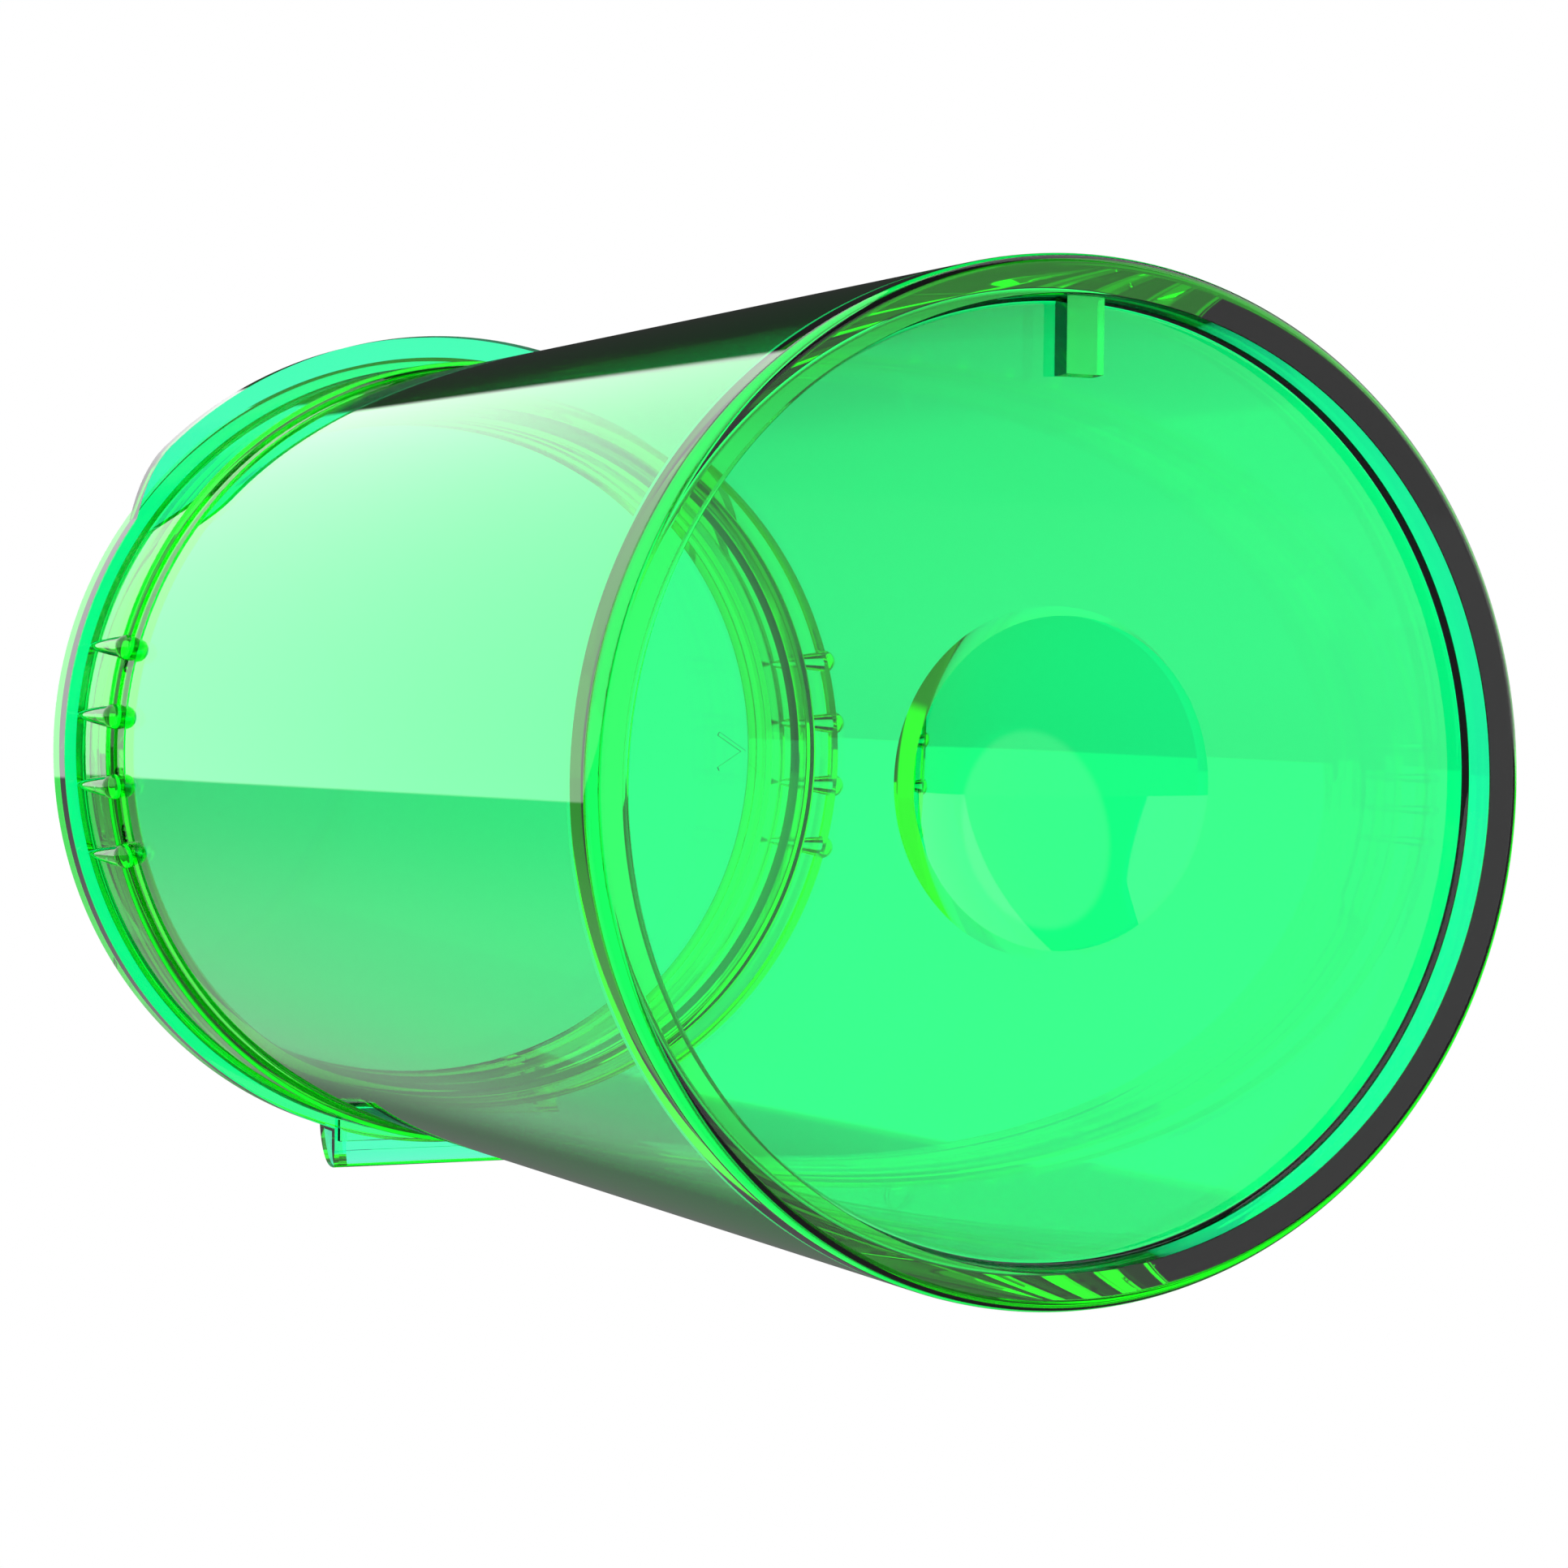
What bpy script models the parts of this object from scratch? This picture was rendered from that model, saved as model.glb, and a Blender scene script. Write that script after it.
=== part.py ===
# Squeeze pop-top vial: a drafted tube with a plug lid on a living hinge.
# Units are metres, +Z up.  The vial stands on its foot ring at z = 0, its axis
# is Z, the thumb tab is at the front (-Y), the hinge at the back (+Y) and the
# squeeze ribs are at the sides (-X and +X).
import bpy
import bmesh
import math

# ---------------------------------------------------------------- dimensions
R = 0.01975                 # outer radius of the tube at its foot
GAP = 0.0003                # clearance between neighbouring solids
SEG = 64                    # facets around the axis

WALL_DRAFT = 0.0045         # growth of the outer radius per unit of height
Z_TOP = 3.6686 * R          # top of the lid
Z_SEAT = 3.5255 * R         # underside of the lid flange
Z_RIM = Z_SEAT - GAP        # top of the mouth

# base
FOOT_H = 0.074 * R          # depth of the recess inside the foot ring
FOOT_R_IN = 0.9227 * R
FOOT_R_OUT = 0.973 * R      # flat face of the ring, inside its rounded edge
FLOOR_T = 0.070 * R
DIMPLE_R = 0.319 * R        # gate dimple under the base
DIMPLE_D = 0.090 * R
BUMP_R = 0.338 * R          # the same dimple seen from inside

# bore
BORE_Z_LOW = FOOT_H + FLOOR_T
BORE_R_LOW = 0.9422 * R
BORE_R_HIGH = 0.9600 * R    # at the rim

# collar: the thicker band around the mouth
COLLAR_Z = 3.236 * R        # its lower edge
COLLAR_SLOPE = 0.018 * R    # height of the sloped face under that edge
COLLAR_R_LOW = 1.0400 * R
COLLAR_R_HIGH = 1.0470 * R

# lid
FLANGE_R = 1.0756 * R
FLANGE_EDGE = 0.022 * R
LID_IN_Z = 3.602 * R        # ceiling inside the plug
LID_IN_R = 0.895 * R
PLUG_R_IN = 0.906 * R
PLUG_Z_LOW = 3.245 * R
PLUG_R_TOP = 0.9400 * R
PLUG_R_LOW = 0.9370 * R
BEAD_Z = 3.372 * R          # snap bead on the plug
BEAD_OUT = 0.0055 * R

# thumb tab
TAB_R = 1.130 * R
TAB_HALF_DEG = 53.0
TAB_ROUND_DEG = 6.0
TAB_T = 0.076 * R

# living hinge
BAR_HALF = 0.330 * R
BAR_Y_OUT = 1.130 * R
BAR_T = 0.062 * R           # plate of the bar
BAR_TOE = 0.0325 * R        # upright part of the bar's outer edge
GUSSET_H = 0.1385 * R       # webs at the two ends of the bar
GUSSET_W = 0.045 * R
PIVOT_Y = 1.100 * R
PIVOT_Z = Z_SEAT - 0.5 * GAP
WEB_HALF = 0.300 * R
WEB_Y_OUT = 1.078 * R
WEB_T = 0.022 * R

# squeeze ribs
RIB_R = 0.0320 * R
RIB_BALL_Z = 3.217 * R
RIB_PITCH_DEG = 10.0
RIB_AXIS_LOW = 1.0265 * R   # distance of the rib's axis from the vial's axis
RIB_AXIS_HIGH = 1.0480 * R
RIB_TAIL = 0.86             # part of the collar's height that the rib's tail covers

# orientation lug
LUG_Y_OUT = 0.900 * R
LUG_Y_IN = 0.773 * R
LUG_W = 0.080 * R
LUG_FOOT_CLEAR = 0.028 * R

GREEN = (0.030, 0.880, 0.300, 1.0)


# ------------------------------------------------------------------- helpers
for old in list(bpy.data.objects):
    bpy.data.objects.remove(old, do_unlink=True)

parts = bpy.data.collections.new("squeeze_pop_top_vial")
cutters = bpy.data.collections.new("cutters")
bpy.context.scene.collection.children.link(parts)
bpy.context.scene.collection.children.link(cutters)


def plastic(name, shade=1.0):
    mat = bpy.data.materials.new(name + "_plastic")
    mat.use_nodes = True
    bsdf = mat.node_tree.nodes["Principled BSDF"]
    bsdf.inputs["Base Color"].default_value = (
        GREEN[0] * shade, GREEN[1] * shade, GREEN[2] * shade, 1.0)
    bsdf.inputs["Roughness"].default_value = 0.08
    bsdf.inputs["Metallic"].default_value = 0.0
    bsdf.inputs["IOR"].default_value = 1.49
    bsdf.inputs["Transmission Weight"].default_value = 0.9
    return mat


def outer_radius(z):
    """Outer radius of the drafted tube at height z."""
    return R + WALL_DRAFT * z


def bore_radius(z):
    """Radius of the drafted bore at height z."""
    t = (z - BORE_Z_LOW) / (Z_RIM - BORE_Z_LOW)
    return BORE_R_LOW + t * (BORE_R_HIGH - BORE_R_LOW)


def arc(cx, cz, r, a0, a1, n):
    """n + 1 points on an arc in the profile plane, angles in degrees."""
    pts = []
    for i in range(n + 1):
        a = math.radians(a0 + (a1 - a0) * i / n)
        pts.append((cx + r * math.cos(a), cz + r * math.sin(a)))
    return pts


def cap_profile(chord, depth, z_edge, n):
    """Spherical cap from its edge to the axis, rising by depth."""
    rc = (chord * chord + depth * depth) / (2.0 * depth)
    zc = z_edge + depth - rc
    a_edge = math.asin(chord / rc)
    pts = []
    for i in range(n + 1):
        a = a_edge * (1.0 - i / n)
        pts.append((rc * math.sin(a), zc + rc * math.cos(a)))
    pts[-1] = (0.0, z_edge + depth)
    return pts


def turned(name, profile, closed, steps=SEG, collection=parts):
    """Solid of revolution about Z from a profile in the XZ plane."""
    mesh = bpy.data.meshes.new(name)
    verts = [(x, 0.0, z) for x, z in profile]
    edges = [(i, i + 1) for i in range(len(verts) - 1)]
    if closed:
        edges.append((len(verts) - 1, 0))
    mesh.from_pydata(verts, edges, [])
    ob = bpy.data.objects.new(name, mesh)
    collection.objects.link(ob)
    screw = ob.modifiers.new("turn", "SCREW")
    screw.axis = "Z"
    screw.angle = math.radians(360.0)
    screw.steps = steps
    screw.render_steps = steps
    screw.use_merge_vertices = True
    screw.merge_threshold = 0.000002
    screw.use_smooth_shade = True
    return ob


def outline(name, points, half_thickness):
    """Flat plate from a closed outline, extruded both ways along its Z."""
    curve = bpy.data.curves.new(name, "CURVE")
    curve.dimensions = "2D"
    curve.fill_mode = "BOTH"
    curve.extrude = half_thickness
    spline = curve.splines.new("POLY")
    spline.points.add(len(points) - 1)
    for p, (x, y) in zip(spline.points, points):
        p.co = (x, y, 0.0, 1.0)
    spline.use_cyclic_u = True
    ob = bpy.data.objects.new(name, curve)
    parts.objects.link(ob)
    return ob


def to_mesh(ob):
    """Replace a curve object by a welded mesh object of the same name."""
    bpy.context.view_layer.update()
    graph = bpy.context.evaluated_depsgraph_get()
    mesh = bpy.data.meshes.new_from_object(ob.evaluated_get(graph))
    bm = bmesh.new()
    bm.from_mesh(mesh)
    bmesh.ops.remove_doubles(bm, verts=bm.verts, dist=0.000001)
    bmesh.ops.recalc_face_normals(bm, faces=bm.faces)
    bm.to_mesh(mesh)
    bm.free()
    name, matrix = ob.name, ob.matrix_world.copy()
    bpy.data.objects.remove(ob, do_unlink=True)
    new = bpy.data.objects.new(name, mesh)
    mesh.name = name
    parts.objects.link(new)
    new.matrix_world = matrix
    return new


def block(name, low, high, collection=parts):
    """Box between two corners, with its scale applied to the mesh."""
    bm = bmesh.new()
    bmesh.ops.create_cube(bm, size=1.0)
    size = [h - l for l, h in zip(low, high)]
    mid = [(h + l) / 2.0 for l, h in zip(low, high)]
    bmesh.ops.scale(bm, vec=size, verts=bm.verts)
    mesh = bpy.data.meshes.new(name)
    bm.to_mesh(mesh)
    bm.free()
    ob = bpy.data.objects.new(name, mesh)
    ob.location = mid
    collection.objects.link(ob)
    return ob


def as_cutter(ob):
    ob.hide_render = True
    ob.display_type = "WIRE"
    return ob


def cut(ob, cutter):
    mod = ob.modifiers.new("cut", "BOOLEAN")
    mod.operation = "DIFFERENCE"
    mod.solver = "EXACT"
    mod.object = cutter


def carry(ob, pivot):
    """Parent to an empty without moving in the world."""
    bpy.context.view_layer.update()
    matrix = ob.matrix_world.copy()
    ob.parent = pivot
    ob.matrix_parent_inverse.identity()
    ob.matrix_basis = pivot.matrix_world.inverted() @ matrix


def empty(name, location):
    ob = bpy.data.objects.new(name, None)
    ob.empty_display_size = 0.005
    ob.location = location
    parts.objects.link(ob)
    bpy.context.view_layer.update()
    return ob


# ---------------------------------------------------------------- vial: tube
vial_pivot = empty("vial_frame", (0.0, 0.0, 0.0))
lid_pivot = empty("lid_frame", (0.0, PIVOT_Y, PIVOT_Z))

floor_z = BORE_Z_LOW
corner = 0.010 * R
inner = list(reversed(cap_profile(BUMP_R, DIMPLE_D, floor_z, 5)))
r_floor = bore_radius(floor_z)
inner += arc(r_floor - corner, floor_z + corner, corner, -90.0, 0.0, 3)
inner += [
    (bore_radius(Z_RIM - 0.012 * R), Z_RIM - 0.012 * R),
    (bore_radius(Z_RIM) + 0.008 * R, Z_RIM),
]
slope_z = COLLAR_Z - COLLAR_SLOPE
outer = [
    (COLLAR_R_HIGH - 0.004 * R, Z_RIM),
    (COLLAR_R_HIGH, Z_RIM - 0.004 * R),
    (COLLAR_R_LOW, COLLAR_Z),
    (outer_radius(slope_z), slope_z),
    (outer_radius(FOOT_H), FOOT_H),
]
under = cap_profile(DIMPLE_R, DIMPLE_D, FOOT_H, 6)
vial_body = turned("vial_body", inner + outer + under, closed=False)

ring_top = FOOT_H - GAP
foot_ring = turned("foot_ring", [
    (outer_radius(ring_top), ring_top),
    (R, R - FOOT_R_OUT),
    (R - 0.29 * (R - FOOT_R_OUT), 0.29 * (R - FOOT_R_OUT)),
    (FOOT_R_OUT, 0.0),
    (FOOT_R_IN + 0.004 * R, 0.0),
    (FOOT_R_IN, 0.004 * R),
    (FOOT_R_IN - 0.005 * R, ring_top),
], closed=True)

# orientation lug: a chamfered bar from the floor of the base towards the foot
base_lug = block("base_lug",
                 (-LUG_W / 2, -LUG_Y_OUT, LUG_FOOT_CLEAR),
                 (LUG_W / 2, -LUG_Y_IN, FOOT_H - GAP))
edge = base_lug.modifiers.new("edge", "BEVEL")
edge.width = 0.008 * R
edge.segments = 1
edge.limit_method = "ANGLE"

# -------------------------------------------------------- vial: squeeze ribs
rib_length = (Z_SEAT - GAP) - RIB_BALL_Z


def rib_profile(extra=0.0):
    """Bullet: a pointed tail above a hemispherical end, top to bottom."""
    pts = [(0.0, RIB_TAIL * rib_length + extra)]
    n = 7
    for i in range(n + 1):
        u = RIB_TAIL * (1.0 - i / n)
        pts.append((RIB_R * (1.0 - u) ** 0.62 + extra,
                    u * rib_length + (extra if i == 0 else 0.0)))
    for i in range(1, 5):
        a = math.radians(-90.0 * i / 4)
        pts.append(((RIB_R + extra) * math.cos(a), (RIB_R + extra) * math.sin(a)))
    pts[-1] = (0.0, -RIB_R - extra)
    return pts


tilt = math.atan2(RIB_AXIS_HIGH - RIB_AXIS_LOW, rib_length)
for side, base_deg in (("left", 180.0), ("right", 0.0)):
    for i in range(4):
        # numbered from the front of the vial to the back
        off = (i - 1.5) * RIB_PITCH_DEG
        deg = base_deg + (off if side == "right" else -off)
        a = math.radians(deg)
        name = "squeeze_rib_%s_%d" % (side, i + 1)
        rib = turned(name, rib_profile(), closed=False, steps=12)
        pocket = as_cutter(turned(name + "_pocket", rib_profile(GAP), closed=False,
                                  steps=12, collection=cutters))
        for ob in (rib, pocket):
            ob.location = (RIB_AXIS_LOW * math.cos(a),
                           RIB_AXIS_LOW * math.sin(a), RIB_BALL_Z)
            ob.rotation_euler = (0.0, tilt, a)
        cut(vial_body, pocket)

# ------------------------------------------------------------ vial: hinge web
collar_cutter = as_cutter(turned("collar_clearance", [
    (0.0, Z_TOP),
    (COLLAR_R_HIGH + GAP, Z_TOP),
    (COLLAR_R_HIGH + GAP, 2.8 * R),
    (0.0, 2.8 * R),
], closed=False, collection=cutters))

living_hinge_web = block("living_hinge_web",
                         (-WEB_HALF, 0.92 * R, Z_RIM - WEB_T),
                         (WEB_HALF, WEB_Y_OUT, Z_RIM))
cut(living_hinge_web, collar_cutter)

# ------------------------------------------------------------------ lid: disc
lid_plate = turned("lid_plate", [
    (0.0, Z_TOP),
    (FLANGE_R - FLANGE_EDGE, Z_TOP),
    (FLANGE_R - 0.3 * FLANGE_EDGE, Z_TOP - 0.3 * FLANGE_EDGE),
    (FLANGE_R, Z_TOP - FLANGE_EDGE),
    (FLANGE_R, LID_IN_Z),
    (0.0, LID_IN_Z),
], closed=False)

# ------------------------------------------------------- lid: rim of the flange
rim_top = LID_IN_Z - GAP
lid_rim = turned("lid_rim", [
    (FLANGE_R, rim_top),
    (FLANGE_R, Z_SEAT + 0.003 * R),
    (FLANGE_R - 0.003 * R, Z_SEAT),
    (PLUG_R_IN, Z_SEAT),
    (PLUG_R_IN - 0.003 * R, LID_IN_Z - 0.020 * R),
    (LID_IN_R + 0.008 * R, rim_top),
], closed=True)


# ------------------------------------------------------------------ lid: plug
def plug_radius(z):
    t = (z - PLUG_Z_LOW) / (Z_RIM - PLUG_Z_LOW)
    return PLUG_R_LOW + t * (PLUG_R_TOP - PLUG_R_LOW)


plug_skirt = turned("plug_skirt", [
    (plug_radius(Z_RIM), Z_RIM),
    (plug_radius(BEAD_Z + 0.030 * R), BEAD_Z + 0.030 * R),
    (plug_radius(BEAD_Z) + BEAD_OUT, BEAD_Z + 0.010 * R),
    (plug_radius(BEAD_Z) + BEAD_OUT, BEAD_Z - 0.010 * R),
    (plug_radius(BEAD_Z - 0.030 * R), BEAD_Z - 0.030 * R),
    (PLUG_R_LOW, PLUG_Z_LOW + 0.012 * R),
    (PLUG_R_LOW - 0.008 * R, PLUG_Z_LOW),
    (PLUG_R_LOW - 0.016 * R, PLUG_Z_LOW + 0.008 * R),
    (PLUG_R_IN, Z_RIM - 0.060 * R),
    (PLUG_R_IN, Z_RIM),
], closed=True)


# ------------------------------------------------------------- lid: thumb tab
def tab_outline():
    """Arc-shaped tab in front of the flange, rounded at both ends."""
    r_in = FLANGE_R + GAP
    pts = []
    n = 20
    for i in range(n + 1):                      # outer edge, left to right
        d = -TAB_HALF_DEG + 2.0 * TAB_HALF_DEG * i / n
        s = min(1.0, (TAB_HALF_DEG - abs(d)) / TAB_ROUND_DEG)
        r = r_in + (TAB_R - r_in) * (0.12 + 0.88 * math.sqrt(1.0 - (1.0 - s) ** 2))
        a = math.radians(270.0 + d)
        pts.append((r * math.cos(a), r * math.sin(a)))
    for i in range(n + 1):                      # inner edge, right to left
        d = TAB_HALF_DEG - 2.0 * TAB_HALF_DEG * i / n
        a = math.radians(270.0 + d)
        pts.append((r_in / math.cos(math.radians(TAB_HALF_DEG / n)) * math.cos(a),
                    r_in / math.cos(math.radians(TAB_HALF_DEG / n)) * math.sin(a)))
    return pts


thumb_tab = outline("thumb_tab", tab_outline(), TAB_T / 2.0)
thumb_tab.location = (0.0, 0.0, Z_SEAT + TAB_T / 2.0)


# ------------------------------------------------------------- lid: hinge bar
def bar_outline():
    """D-shaped section of the bar: x is the world Y, y is the world Z."""
    y_in, y_mid = 0.960 * R, 0.985 * R
    pts = [(y_in, Z_SEAT), (BAR_Y_OUT - 0.008 * R, Z_SEAT),
           (BAR_Y_OUT, Z_SEAT + 0.008 * R)]
    z0, rise = Z_SEAT + BAR_TOE, GUSSET_H - BAR_TOE
    n = 10
    for i in range(n + 1):
        a = math.radians(90.0 * i / n)
        pts.append((y_mid + (BAR_Y_OUT - y_mid) * math.cos(a), z0 + rise * math.sin(a)))
    pts.append((y_in, Z_SEAT + GUSSET_H))
    return pts


flange_cutter = as_cutter(turned("flange_clearance", [
    (0.0, Z_TOP + 0.1 * R),
    (FLANGE_R + GAP, Z_TOP + 0.1 * R),
    (FLANGE_R + GAP, Z_SEAT - 0.1 * R),
    (0.0, Z_SEAT - 0.1 * R),
], closed=False, collection=cutters))

hinge_bar = outline("hinge_bar", bar_outline(), BAR_HALF)
# the outline's x, y and z become the world's Y, Z and X
hinge_bar.rotation_euler = (math.radians(90.0), 0.0, math.radians(90.0))
hinge_bar = to_mesh(hinge_bar)
cut(hinge_bar, flange_cutter)
# between its end webs the bar is only a plate
bar_pocket = as_cutter(block("bar_pocket",
                             (GUSSET_W - BAR_HALF, 0.90 * R, Z_SEAT + BAR_T),
                             (BAR_HALF - GUSSET_W, 1.20 * R, Z_TOP + 0.1 * R),
                             collection=cutters))
cut(hinge_bar, bar_pocket)

# -------------------------------------------------- parents, finish, shading
lid_pieces = {"lid_plate", "lid_rim", "plug_skirt", "thumb_tab", "hinge_bar"}
for ob in list(parts.objects):
    if ob.type == "EMPTY":
        continue
    ob.data.materials.clear()
    ob.data.materials.append(plastic(ob.name, 0.97 if ob.name in lid_pieces else 1.0))
    carry(ob, lid_pivot if ob.name in lid_pieces else vial_pivot)
    if ob.type == "MESH" and ob.modifiers.get("turn") is None:
        ob.data.set_sharp_from_angle(angle=math.radians(35.0))
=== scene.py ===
# Looks of the squeeze pop-top vial: clear green moulded plastic in a white studio.
# Every length below is in units of the tube's foot radius unless it says mm.
import math
import bpy
import bmesh
import numpy as np
from mathutils import Matrix, Vector


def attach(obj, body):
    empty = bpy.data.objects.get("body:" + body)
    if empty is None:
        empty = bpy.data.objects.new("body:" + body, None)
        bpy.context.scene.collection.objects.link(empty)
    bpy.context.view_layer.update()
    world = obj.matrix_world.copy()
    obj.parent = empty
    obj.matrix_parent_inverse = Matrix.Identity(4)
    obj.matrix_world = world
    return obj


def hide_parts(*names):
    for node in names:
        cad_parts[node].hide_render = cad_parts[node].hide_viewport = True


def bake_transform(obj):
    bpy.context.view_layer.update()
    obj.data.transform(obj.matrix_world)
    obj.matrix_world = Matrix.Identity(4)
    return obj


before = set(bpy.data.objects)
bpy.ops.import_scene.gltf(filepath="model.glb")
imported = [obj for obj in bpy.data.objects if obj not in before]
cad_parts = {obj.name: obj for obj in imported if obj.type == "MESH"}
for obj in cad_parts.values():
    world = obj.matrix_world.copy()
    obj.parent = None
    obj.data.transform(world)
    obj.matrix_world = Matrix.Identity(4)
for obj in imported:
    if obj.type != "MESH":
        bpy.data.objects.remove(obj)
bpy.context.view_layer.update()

RADIUS = 19.75                       # mm, outer radius of the tube at its foot
SIDES = 288                          # facets around the vial's axis
SEAT = 3.5255                        # height of the lid flange's underside
RIM = SEAT - 0.0025                  # top of the mouth
TOP = 3.6686                         # top of the lid
DRAFT = 0.0045
scene = bpy.context.scene


# --------------------------------------------------------------- turned solids
def line(p, q):
    """Straight run of a profile; the plastic lies to the left of the walk."""
    d = Vector((q[0] - p[0], q[1] - p[1])).normalized()
    n = (d.y, -d.x)
    return {"pts": [p, q], "normal": lambda r, z: n}


def arc(centre, radius, a0, a1, count):
    """Circular run from angle a0 to a1, in degrees."""
    pts = []
    for i in range(count + 1):
        a = math.radians(a0 + (a1 - a0) * i / count)
        pts.append((centre[0] + radius * math.cos(a), centre[1] + radius * math.sin(a)))
    side = 1.0 if a1 > a0 else -1.0

    def normal(r, z):
        d = Vector((r - centre[0], z - centre[1]))
        d = d.normalized() * side if d.length > 1e-9 else Vector((0.0, -side))
        return (d.x, d.y)
    return {"pts": pts, "normal": normal}


def run(corners, step=7.5):
    """Lines through the corners (r, z, fillet), each corner rounded by its fillet."""
    segs, here = [], corners[0][:2]
    for k in range(1, len(corners) - 1):
        p = Vector(corners[k][:2])
        fillet = corners[k][2]
        a = (Vector(here) - p)
        b = (Vector(corners[k + 1][:2]) - p)
        la, lb = a.length, b.length
        a.normalize(); b.normalize()
        half = math.acos(max(-1.0, min(1.0, a.dot(b)))) / 2.0
        if fillet <= 0.0 or half > math.radians(89.5):
            segs.append(line(here, tuple(p)))
            here = tuple(p)
            continue
        cut = min(fillet / math.tan(half), 0.499 * lb, 0.999 * la)
        rad = cut * math.tan(half)
        t0, t1 = p + a * cut, p + b * cut
        centre = p + (a + b).normalized() * (rad / math.sin(half))
        s0 = math.degrees(math.atan2(t0.y - centre.y, t0.x - centre.x))
        s1 = math.degrees(math.atan2(t1.y - centre.y, t1.x - centre.x))
        while s1 - s0 > 180.0:
            s1 -= 360.0
        while s1 - s0 < -180.0:
            s1 += 360.0
        segs.append(line(here, tuple(t0)))
        segs.append(arc(tuple(centre), rad, s0, s1, max(2, round(abs(s1 - s0) / step))))
        here = tuple(t1)
    segs.append(line(here, corners[-1][:2]))
    return segs


def turned(name, segs, sides=SIDES):
    """Solid of revolution in mm; each face remembers its run in 'seg'."""
    bm = bmesh.new()
    tag = bm.faces.layers.int.new("seg")
    points = [segs[0]["pts"][0]]
    spans = []
    for k, s in enumerate(segs):
        for p in s["pts"][1:]:
            points.append(p)
            spans.append(k)
    rings = []
    for r, z in points:
        if r < 1e-7:
            rings.append([bm.verts.new((0.0, 0.0, z * RADIUS))] * sides)
        else:
            rings.append([bm.verts.new((r * RADIUS * math.cos(2 * math.pi * i / sides),
                                        r * RADIUS * math.sin(2 * math.pi * i / sides),
                                        z * RADIUS)) for i in range(sides)])
    for i, k in enumerate(spans):
        lo, hi = rings[i], rings[i + 1]
        for j in range(sides):
            n = (j + 1) % sides
            loop = []
            for v in (lo[j], lo[n], hi[n], hi[j]):
                if v not in loop:
                    loop.append(v)
            f = bm.faces.new(loop)
            f[tag] = k + 1
            f.smooth = True
    mesh = bpy.data.meshes.new(name)
    bm.to_mesh(mesh)
    bm.free()
    ob = bpy.data.objects.new(name, mesh)
    scene.collection.objects.link(ob)
    return ob


# -------------------------------------------------------------- other solids
def from_bmesh(name, bm):
    bmesh.ops.recalc_face_normals(bm, faces=bm.faces)
    for f in bm.faces:
        f.smooth = True
    mesh = bpy.data.meshes.new(name)
    bm.to_mesh(mesh)
    bm.free()
    ob = bpy.data.objects.new(name, mesh)
    scene.collection.objects.link(ob)
    return ob


def prism(name, outline, lo, hi, place):
    """Straight prism: the outline's (a, b) and the height are turned into x, y, z by place."""
    bm = bmesh.new()
    low = [bm.verts.new([c * RADIUS for c in place(a, b, lo)]) for a, b in outline]
    high = [bm.verts.new([c * RADIUS for c in place(a, b, hi)]) for a, b in outline]
    n = len(outline)
    bm.faces.new(low)
    bm.faces.new(high)
    for i in range(n):
        bm.faces.new((low[i], low[(i + 1) % n], high[(i + 1) % n], high[i]))
    return from_bmesh(name, bm)


def flat(a, b, h):
    return (a, b, h)


def unite(ob, tools):
    """Joins the tools to ob and removes them."""
    group = bpy.data.collections.new("tools")
    scene.collection.children.link(group)
    for t in tools:
        for c in list(t.users_collection):
            c.objects.unlink(t)
        group.objects.link(t)
    mod = ob.modifiers.new("unite", "BOOLEAN")
    mod.operation = "UNION"
    mod.solver = "EXACT"
    mod.operand_type = "COLLECTION"
    mod.collection = group
    graph = bpy.context.evaluated_depsgraph_get()
    mesh = bpy.data.meshes.new_from_object(ob.evaluated_get(graph))
    ob.modifiers.clear()
    old, ob.data = ob.data, mesh
    bpy.data.meshes.remove(old)
    for t in tools:
        data = t.data
        bpy.data.objects.remove(t, do_unlink=True)
        bpy.data.meshes.remove(data)
    bpy.data.collections.remove(group)
    return ob


def finish_mesh(ob, segs=(), sharp_deg=32.0):
    """Scales a mesh from mm to metres and gives it true surface normals."""
    bm = bmesh.new()
    bm.from_mesh(ob.data)
    bmesh.ops.remove_doubles(bm, verts=bm.verts, dist=2e-5)
    bmesh.ops.dissolve_degenerate(bm, edges=bm.edges, dist=1e-5)
    tag = bm.faces.layers.int.get("seg")
    bm.normal_update()
    limit = math.cos(math.radians(sharp_deg))
    normals = []
    for f in bm.faces:
        k = f[tag] if tag else 0
        for loop in f.loops:
            v = loop.vert
            n = None
            if k:
                r = math.hypot(v.co.x, v.co.y)
                nr, nz = segs[k - 1]["normal"](r / RADIUS, v.co.z / RADIUS)
                if r > 1e-6:
                    n = Vector((nr * v.co.x / r, nr * v.co.y / r, nz))
                else:
                    n = Vector((0.0, 0.0, nz))
                if n.dot(f.normal) < 0.5:
                    n = None
            if n is None:
                n = Vector((0.0, 0.0, 0.0))
                for g in v.link_faces:
                    if not (tag and g[tag]) and g.normal.dot(f.normal) > limit:
                        n += g.normal * g.calc_area()
                n = n if n.length > 1e-12 else f.normal.copy()
            normals.append(n.normalized())
    for v in bm.verts:
        v.co *= 0.001
    for f in bm.faces:
        f.smooth = True
    if tag:
        bm.faces.layers.int.remove(tag)
    bm.to_mesh(ob.data)
    bm.free()
    ob.data.normals_split_custom_set(normals)
    ob.data.update()
    return ob


# ------------------------------------------------------------- vial: the tube
def cap(chord, depth, z_edge):
    """Centre height, radius and edge angle of a spherical cap."""
    rc = (chord * chord + depth * depth) / (2.0 * depth)
    zc = z_edge + depth - rc
    return zc, rc, math.degrees(math.atan2(z_edge - zc, chord))


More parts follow.
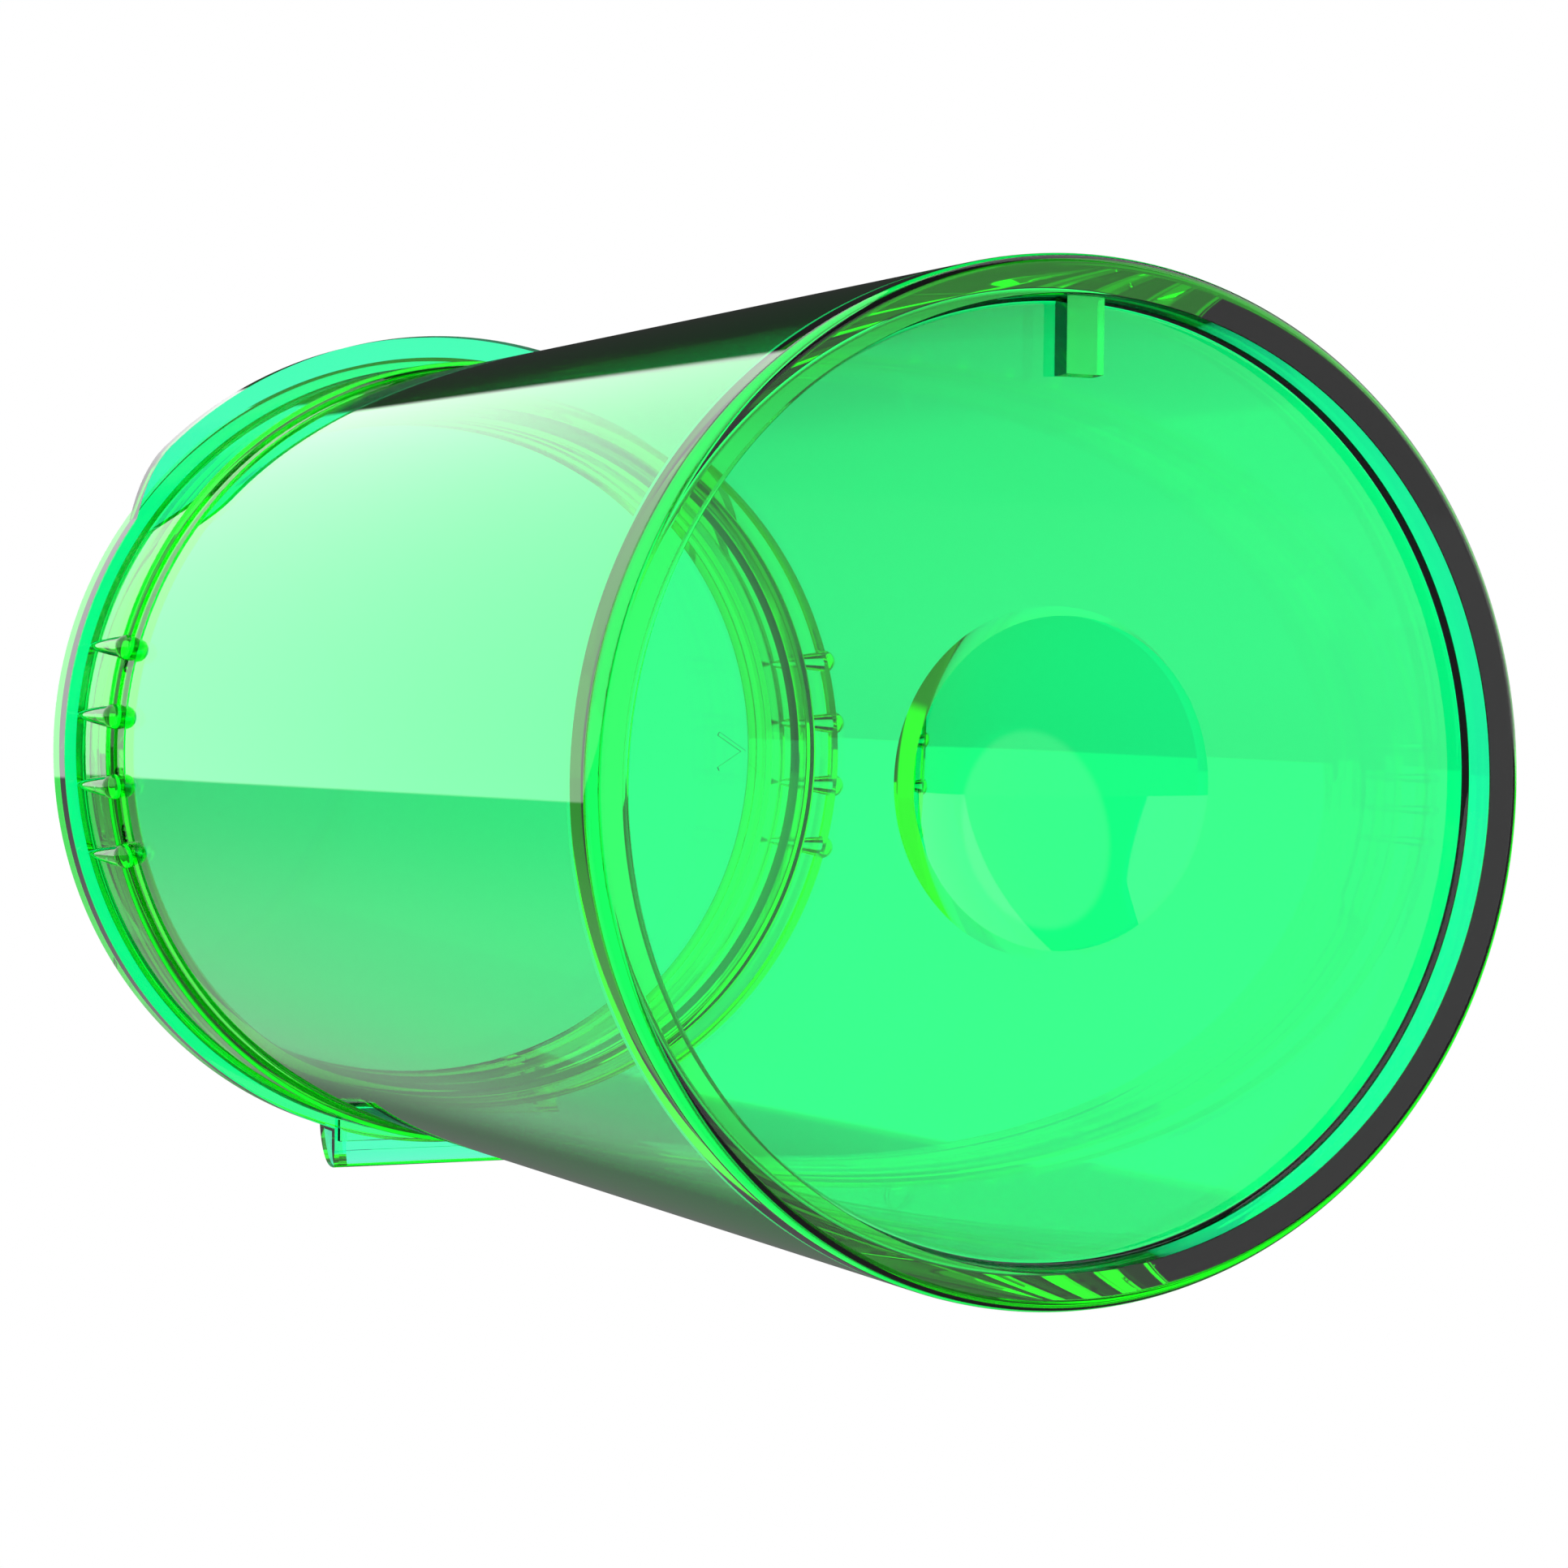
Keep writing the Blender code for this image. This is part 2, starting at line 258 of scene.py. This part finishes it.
FOOT = 0.074                          # recess inside the foot ring
FLOOR = 0.144                         # floor inside
DIMPLE = 0.319
zc, rc, edge = cap(DIMPLE, 0.090, FOOT)
rb = rc + (FLOOR - FOOT)              # the dimple's inner face is parallel to it
bump_r = math.sqrt(rb * rb - (FLOOR - zc) ** 2)
bump_edge = math.degrees(math.atan2(FLOOR - zc, bump_r))


def wall(h):
    return 1.0 + DRAFT * (h - 0.027)


def bore(h):
    return 0.9414 + 0.0053 * h


COLLAR = 3.236                        # lower edge of the thicker band at the mouth
COLLAR_LOW, COLLAR_R = 1.0400, 1.0470
vial_segs = [arc((0.0, zc), rc, 90.0, edge, 20)]
vial_segs += run([
    (DIMPLE, FOOT, 0.0),
    (0.9187, FOOT, 0.013),
    (0.9227, 0.0, 0.002),
    (1.0000, 0.0, 0.027),
    (wall(COLLAR - 0.075), COLLAR - 0.075, 0.040),
    (1.0225, COLLAR - 0.010, 0.010),
    (1.0300, COLLAR, 0.006),
    (COLLAR_LOW, COLLAR + 0.001, 0.002),
    (COLLAR_R, RIM, 0.003),
    (bore(RIM) + 0.010, RIM, 0.004),
    (bore(RIM - 0.014), RIM - 0.014, 0.010),
    (bore(FLOOR), FLOOR, 0.010),
    (bump_r, FLOOR, 0.0),
])
vial_segs.append(arc((0.0, zc), rb, bump_edge, 90.0, 20))
vial_shell = turned("vial_shell", vial_segs)

# squeeze ribs: a hemispherical end below a long pointed tail
RIB = 0.032
RIB_BALL = 3.217
RIB_LOW, RIB_HIGH = 1.0265, 1.0480
rib_len = (SEAT - 0.0040) - RIB_BALL


def rib_mesh(name, deg):
    pts = [(0.0, 0.985 * rib_len)]
    n = 26
    for i in range(n + 1):
        u = 0.98 * (1.0 - (i / n)) ** 1.25
        pts.append((RIB * (1.0 - u) ** 0.62, u * rib_len))
    for i in range(1, 13):
        a = math.radians(-90.0 * i / 12)
        pts.append((RIB * math.cos(a), RIB * math.sin(a)))
    pts[-1] = (0.0, -RIB)
    a = math.radians(deg)
    turn = (Matrix.Translation((RIB_LOW * math.cos(a), RIB_LOW * math.sin(a), RIB_BALL))
            @ Matrix.Rotation(a, 4, "Z")
            @ Matrix.Rotation(math.atan2(RIB_HIGH - RIB_LOW, rib_len), 4, "Y"))
    bm = bmesh.new()
    sides = 40
    rings = []
    for r, z in pts:
        if r < 1e-7:
            rings.append([bm.verts.new(RADIUS * (turn @ Vector((0, 0, z))))] * sides)
        else:
            rings.append([bm.verts.new(RADIUS * (turn @ Vector((
                r * math.cos(2 * math.pi * (j + 0.5) / sides),
                r * math.sin(2 * math.pi * (j + 0.5) / sides), z)))) for j in range(sides)])
    for lo, hi in zip(rings, rings[1:]):
        for j in range(sides):
            k = (j + 1) % sides
            loop = []
            for v in (lo[j], lo[k], hi[k], hi[j]):
                if v not in loop:
                    loop.append(v)
            bm.faces.new(loop)
    return from_bmesh(name, bm)


tools = []
for base in (0.0, 180.0):
    for i in range(4):
        tools.append(rib_mesh("rib", base + (i - 1.5) * 10.0))

# orientation lug between the floor of the base and the foot ring
lug = bmesh.new()
lug_low, lug_high, lug_x = 0.0400, 0.0415, 0.010
corner = []
for half, z, y_in in ((lug_low, 0.028, -0.774), (lug_high, 0.090, -0.771)):
    corner.append([lug.verts.new((x * RADIUS, y * RADIUS, z * RADIUS)) for x, y in (
        (lug_x - half, y_in), (lug_x + half, y_in), (lug_x + half, -0.950), (lug_x - half, -0.950))])
lug.faces.new(corner[0])
lug.faces.new(corner[1])
for i in range(4):
    lug.faces.new((corner[0][i], corner[0][(i + 1) % 4], corner[1][(i + 1) % 4], corner[1][i]))
tools.append(from_bmesh("lug", lug))

unite(vial_shell, tools)
finish_mesh(vial_shell, vial_segs)

# ------------------------------------------------------------------ the lid
PLUG_LOW = 3.245
lid_segs = run([
    (0.0, 3.602, 0.0),
    (0.9030, 3.602, 0.006),
    (0.9220, PLUG_LOW, 0.004),
    (0.9510, PLUG_LOW, 0.006),
    (0.9520, 3.310, 0.010),
    (0.9580, 3.372, 0.010),
    (0.9520, 3.415, 0.010),
    (0.9500, SEAT, 0.006),
    (1.0756, SEAT, 0.003),
    (1.0756, TOP, 0.022),
    (0.0, TOP, 0.0),
])
lid_shell = turned("lid_shell", lid_segs)


def tab_outline():
    """Lift tab: an arc ahead of the flange, blended into it at both ends."""
    pts = []
    n = 96
    for i in range(n + 1):
        d = -56.5 + 113.0 * i / n
        s = max(0.0, min(1.0, (abs(d) - 44.5) / 11.5))
        r = 1.130 - 0.058 * (s * s * (1.6 - 0.6 * s))
        a = math.radians(270.0 + d)
        pts.append((r * math.cos(a), r * math.sin(a)))
    for i in range(n + 1):
        a = math.radians(270.0 + 56.5 - 113.0 * i / n)
        pts.append((1.030 * math.cos(a), 1.030 * math.sin(a)))
    return pts


tab = prism("tab", tab_outline(), SEAT, SEAT + 0.0760, flat)


def bar_outline(thick):
    """Section of the hinge bar as (y, z): a flat plate with a rounded outer edge."""
    pts = [(0.960, SEAT), (1.083, SEAT), (1.0845, SEAT + 0.003), (1.122, SEAT + 0.003)]
    for i in range(1, 7):
        a = math.radians(-90.0 + 90.0 * i / 6)
        pts.append((1.122 + 0.008 * math.cos(a), SEAT + 0.011 + 0.008 * math.sin(a)))
    for i in range(0, 19):
        a = math.radians(90.0 * i / 18)
        pts.append((1.130 - thick + thick * math.cos(a), SEAT + 0.0325 + (thick - 0.0325) * math.sin(a)))
    pts.append((0.960, SEAT + thick))
    return pts


def gusset_outline():
    """Section of the web at each end of the bar: a quarter ellipse above the plate."""
    pts = [(0.960, SEAT + 0.002), (1.083, SEAT + 0.002), (1.120, SEAT + 0.005)]
    for i in range(0, 19):
        a = math.radians(90.0 * i / 18)
        pts.append((0.985 + 0.1445 * math.cos(a), SEAT + 0.0325 + 0.106 * math.sin(a)))
    pts.append((0.960, SEAT + 0.1385))
    return pts


def along_x(a, b, h):
    return (h, a, b)


bar = prism("bar", bar_outline(0.062), -0.330, 0.330, along_x)
gussets = [prism("gusset", gusset_outline(), lo, lo + 0.045, along_x) for lo in (-0.3295, 0.2845)]


def chevron(apex, arm, half, thick, side):
    """Raised arrow head on the lid, pointing away from the axis."""
    x0, x1 = apex * side, (apex - arm) * side
    t = thick * side
    out = [(x0, 0.0), (x1, half), (x1 - 0.4 * t, half - 0.8 * thick),
           (x0 - 1.5 * t, 0.0), (x1 - 0.4 * t, -half + 0.8 * thick), (x1, -half)]
    return prism("chevron", out, TOP - 0.010, TOP + 0.007, flat)


unite(lid_shell, [tab, bar] + gussets + [chevron(0.920, 0.085, 0.055, 0.012, 1.0),
                  chevron(0.955, 0.085, 0.055, 0.012, -1.0)])
finish_mesh(lid_shell, lid_segs)

# ------------------------------------------------------------- the hinge film
WEB_HALF = 0.322
WEB_OUT = 1.0560
web_in = COLLAR_R + 0.0015
outline = []
n = 48
for i in range(n + 1):
    x = -WEB_HALF + 2 * WEB_HALF * i / n
    outline.append((x, math.sqrt(web_in ** 2 - x * x)))
for i in range(n + 1):
    x = WEB_HALF - 2 * WEB_HALF * i / n
    outline.append((x, WEB_OUT))
hinge_web = prism("hinge_web", outline, RIM - 0.020, RIM, flat)
finish_mesh(hinge_web)


# ------------------------------------------------------------------ materials
def plastic(name, low, high):
    """Clear green moulded plastic: tint, gloss and flow ripples vary slightly."""
    mat = bpy.data.materials.new(name)
    mat.use_nodes = True
    tree = mat.node_tree
    tree.nodes.clear()
    out = tree.nodes.new("ShaderNodeOutputMaterial")
    bsdf = tree.nodes.new("ShaderNodeBsdfPrincipled")
    depth = tree.nodes.new("ShaderNodeVolumeAbsorption")
    coord = tree.nodes.new("ShaderNodeTexCoord")
    cloud = tree.nodes.new("ShaderNodeTexNoise")
    cloud.inputs["Scale"].default_value = 90.0
    cloud.inputs["Detail"].default_value = 0.0
    ramp = tree.nodes.new("ShaderNodeValToRGB")
    ramp.color_ramp.elements[0].position = 0.25
    ramp.color_ramp.elements[1].position = 0.75
    ramp.color_ramp.elements[0].color = (*low, 1.0)
    ramp.color_ramp.elements[1].color = (*high, 1.0)
    gloss = tree.nodes.new("ShaderNodeMapRange")
    gloss.inputs["To Min"].default_value = 0.002
    gloss.inputs["To Max"].default_value = 0.010
    bump = tree.nodes.new("ShaderNodeBump")
    bump.inputs["Strength"].default_value = 0.05
    bump.inputs["Distance"].default_value = 0.00002
    link = tree.links.new
    link(coord.outputs["Object"], cloud.inputs["Vector"])
    link(cloud.outputs["Fac"], ramp.inputs["Fac"])
    link(ramp.outputs["Color"], bsdf.inputs["Base Color"])
    link(cloud.outputs["Fac"], gloss.inputs["Value"])
    link(gloss.outputs["Result"], bsdf.inputs["Roughness"])
    link(cloud.outputs["Fac"], bump.inputs["Height"])
    link(bump.outputs["Normal"], bsdf.inputs["Normal"])
    bsdf.inputs["Metallic"].default_value = 0.0
    bsdf.inputs["IOR"].default_value = 1.50
    bsdf.inputs["Transmission Weight"].default_value = 1.0
    depth.inputs["Color"].default_value = (0.0, 1.0, 0.79, 1.0)
    depth.inputs["Density"].default_value = 2100.0
    link(bsdf.outputs["BSDF"], out.inputs["Surface"])
    link(depth.outputs["Volume"], out.inputs["Volume"])
    return mat


TINT_LOW, TINT_HIGH = (0.78, 1.0, 0.905), (0.84, 1.0, 0.935)
for ob, slot, body in ((vial_shell, "vial_plastic", "vial"), (lid_shell, "lid_plastic", "lid"),
                       (hinge_web, "hinge_plastic", None)):
    ob.data.materials.clear()
    ob.data.materials.append(plastic(slot, TINT_LOW, TINT_HIGH))
    if body:
        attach(ob, body)
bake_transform(hinge_web)
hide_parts("vial_body", "foot_ring", "base_lug",
            *["squeeze_rib_%s_%d" % (s, i) for s in ("left", "right") for i in (1, 2, 3, 4)])
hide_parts("lid_plate", "lid_rim", "plug_skirt", "thumb_tab", "hinge_bar")
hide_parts("living_hinge_web")

# ----------------------------------------------------------------- the studio
bm = bmesh.new()
bmesh.ops.create_circle(bm, cap_ends=True, radius=1.5, segments=96)
mesh = bpy.data.meshes.new("studio_floor")
bm.to_mesh(mesh)
bm.free()
floor = bpy.data.objects.new("studio_floor", mesh)
floor.location = (0.0, 0.0, -0.0002)
scene.collection.objects.link(floor)
floor.visible_glossy = False
floor.visible_transmission = False
mat = bpy.data.materials.new("studio_floor")
mat.use_nodes = True
tree = mat.node_tree
tree.nodes.clear()
out = tree.nodes.new("ShaderNodeOutputMaterial")
matt = tree.nodes.new("ShaderNodeBsdfDiffuse")
coord = tree.nodes.new("ShaderNodeTexCoord")
grain = tree.nodes.new("ShaderNodeTexNoise")
grain.inputs["Scale"].default_value = 30.0
shade = tree.nodes.new("ShaderNodeValToRGB")
shade.color_ramp.elements[0].color = (0.80, 0.80, 0.80, 1.0)
shade.color_ramp.elements[1].color = (0.84, 0.84, 0.84, 1.0)
clear = tree.nodes.new("ShaderNodeBsdfTransparent")
side = tree.nodes.new("ShaderNodeNewGeometry")
mix = tree.nodes.new("ShaderNodeMixShader")
tree.links.new(coord.outputs["Object"], grain.inputs["Vector"])
tree.links.new(grain.outputs["Fac"], shade.inputs["Fac"])
tree.links.new(shade.outputs["Color"], matt.inputs["Color"])
tree.links.new(side.outputs["Backfacing"], mix.inputs["Fac"])
tree.links.new(matt.outputs["BSDF"], mix.inputs[1])
tree.links.new(clear.outputs["BSDF"], mix.inputs[2])
tree.links.new(mix.outputs["Shader"], out.inputs["Surface"])
mesh.materials.append(mat)

# world: a white surround, and the panels and soft lamp that gloss reflects
world = bpy.data.worlds.new("studio")
scene.world = world
world.use_nodes = True
wt = world.node_tree
wt.nodes.clear()


def put(node, socket, value):
    if isinstance(value, bpy.types.NodeSocket):
        wt.links.new(value, node.inputs[socket])
    else:
        node.inputs[socket].default_value = value


def calc(op, a, b=0.0, c=0.0):
    node = wt.nodes.new("ShaderNodeMath")
    node.operation = op
    put(node, 0, a)
    put(node, 1, b)
    put(node, 2, c)
    return node.outputs[0]


def dot(v, axis):
    node = wt.nodes.new("ShaderNodeVectorMath")
    node.operation = "DOT_PRODUCT"
    put(node, 0, v)
    put(node, 1, axis)
    return node.outputs["Value"]


def ramp(x, lo, hi):
    """0 below lo, 1 above hi, smooth between."""
    node = wt.nodes.new("ShaderNodeMapRange")
    node.interpolation_type = "SMOOTHSTEP"
    put(node, "Value", x)
    put(node, "From Min", lo)
    put(node, "From Max", hi)
    return node.outputs["Result"]


def lerp(t, a, b):
    return calc("ADD", calc("MULTIPLY", calc("SUBTRACT", 1.0, t), a), calc("MULTIPLY", t, b))


ray = wt.nodes.new("ShaderNodeTexCoord").outputs["Generated"]
UP, AHEAD = (0.0, -0.99834, 0.0576), (0.0, 0.0576, 0.99834)
DEG = 180.0 / math.pi
el = calc("MULTIPLY", calc("ARCSINE", dot(ray, UP)), DEG)
az = calc("MULTIPLY", calc("ARCTAN2", dot(ray, (1.0, 0.0, 0.0)), dot(ray, AHEAD)), DEG)

left_near = calc("SUBTRACT", 1.0, ramp(az, 11.2, 12.2))
left_far_at = calc("ADD", -169.0, calc("MULTIPLY", el, -0.38))
left_far = ramp(calc("SUBTRACT", az, left_far_at), -0.5, 0.5)
left = calc("MULTIPLY", left_near, left_far)
right_near = ramp(az, 59.0, 61.0)
right_far_at = calc("ADD", 118.5, calc("MULTIPLY", el, 0.29))
right_far = calc("SUBTRACT", 1.0, ramp(calc("SUBTRACT", az, right_far_at), -0.5, 0.5))
right = calc("MULTIPLY", right_near, right_far)
gap = lerp(ramp(calc("ABSOLUTE", az), 80.0, 100.0), 0.03, 0.17)
upper = lerp(calc("MAXIMUM", left, right), gap, 1.5)

ahead_low = lerp(ramp(az, 4.0, 14.0), lerp(ramp(el, -14.0, 0.0), 0.45, 0.24), 0.15)
lower = lerp(ramp(calc("ABSOLUTE", az), 80.0, 100.0), ahead_low, 0.27)
base = lerp(ramp(el, -0.15, 0.15), lower, upper)


def heading(el_deg, az_deg):
    e, a = math.radians(el_deg), math.radians(az_deg)
    v = (Vector(UP) * math.sin(e) + Vector(AHEAD) * (math.cos(e) * math.cos(a))
         + Vector((1.0, 0.0, 0.0)) * (math.cos(e) * math.sin(a)))
    return tuple(v)


off = calc("MULTIPLY", calc("ARCCOSINE", dot(ray, heading(10.4, 146.2))), DEG)
lamp = calc("MULTIPLY", calc("SUBTRACT", 1.0, ramp(off, 28.0, 31.0)), 0.82)
studio = calc("ADD", base, lamp)

path = wt.nodes.new("ShaderNodeLightPath")
mirrored = calc("GREATER_THAN", path.outputs["Glossy Depth"], 0.5)
level = lerp(mirrored, 1.0, studio)
grey = wt.nodes.new("ShaderNodeCombineColor")
for c in ("Red", "Green", "Blue"):
    put(grey, c, level)
back = wt.nodes.new("ShaderNodeBackground")
wt.links.new(grey.outputs["Color"], back.inputs["Color"])
world_out = wt.nodes.new("ShaderNodeOutputWorld")
wt.links.new(back.outputs["Background"], world_out.inputs["Surface"])

# ----------------------------------------------------------------- the camera
cam_data = bpy.data.cameras.new("camera")
cam_data.sensor_width = 36.0
cam_data.lens = 86.557
cam_data.clip_start = 0.001
cam_data.clip_end = 50.0
camera = bpy.data.objects.new("camera", cam_data)
scene.collection.objects.link(camera)
camera.matrix_world = Matrix((
    (0.90934, 0.0, -0.41605, -0.068475),
    (-0.01085, -0.99966, -0.02372, -0.003232),
    (-0.41591, 0.02608, -0.90903, -0.122916),
    (0.0, 0.0, 0.0, 1.0)))
scene.camera = camera

# ------------------------------------------------------------------- picture
scene.view_settings.view_transform = "Standard"
scene.view_settings.look = "None"
scene.cycles.max_bounces = 13
scene.cycles.glossy_bounces = 13
scene.cycles.transmission_bounces = 13
scene.cycles.diffuse_bounces = 3
scene.cycles.transparent_max_bounces = 16
scene.cycles.blur_glossy = 0.0
scene.cycles.use_denoising = True
